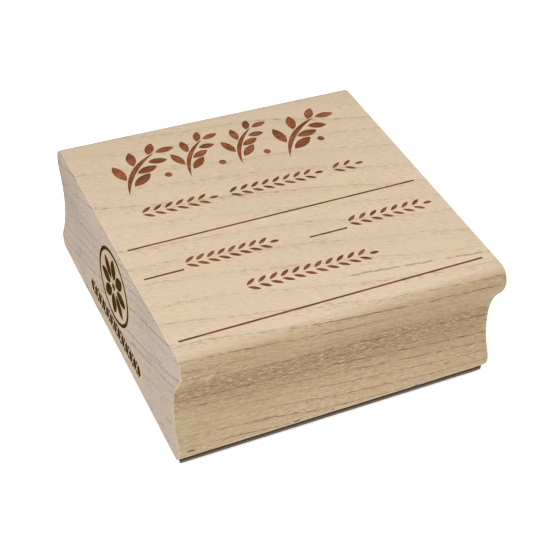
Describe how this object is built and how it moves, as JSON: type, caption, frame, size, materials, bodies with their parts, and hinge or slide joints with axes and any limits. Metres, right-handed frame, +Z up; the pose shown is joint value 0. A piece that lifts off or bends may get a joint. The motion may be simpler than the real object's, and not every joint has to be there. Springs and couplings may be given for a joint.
{
  "type": "wood mounted rubber stamp",
  "caption": "Square craft stamp: moulded hardwood grip block with an engraved leaf design and writing rules, thin foam cushion and a rubber die in relief.",
  "frame": {"origin": "under the middle of the block, on the die's printing face", "axes": "+X along the moulding and the writing rules, -Y towards the front, +Z up from the printing face to the engraved top"},
  "size_m": [0.0654, 0.0672, 0.0276],
  "materials": {
    "maple": "sanded bare maple, laser engraved artwork in red brown",
    "adhesive_film": "clear pressure sensitive acrylic film",
    "cushion_foam": "dark closed cell foam, matt",
    "die_rubber": "matt grey brown vulcanised rubber"
  },
  "bodies": {
    "die_pad": {"rubber_die": "die_rubber", "lower_adhesive_film": "adhesive_film", "foam_cushion": "cushion_foam"},
    "block": {"wood_block": "maple", "upper_adhesive_film": "adhesive_film"}
  },
  "joints": [
    {"name": "cushion_press", "type": "slide", "parent": "die_pad", "child": "block", "axis": [0, 0, -1], "range_m": [0, 0.0003], "stiffness_N_per_m": 25000, "deforming": ["foam_cushion"]}
  ]
}
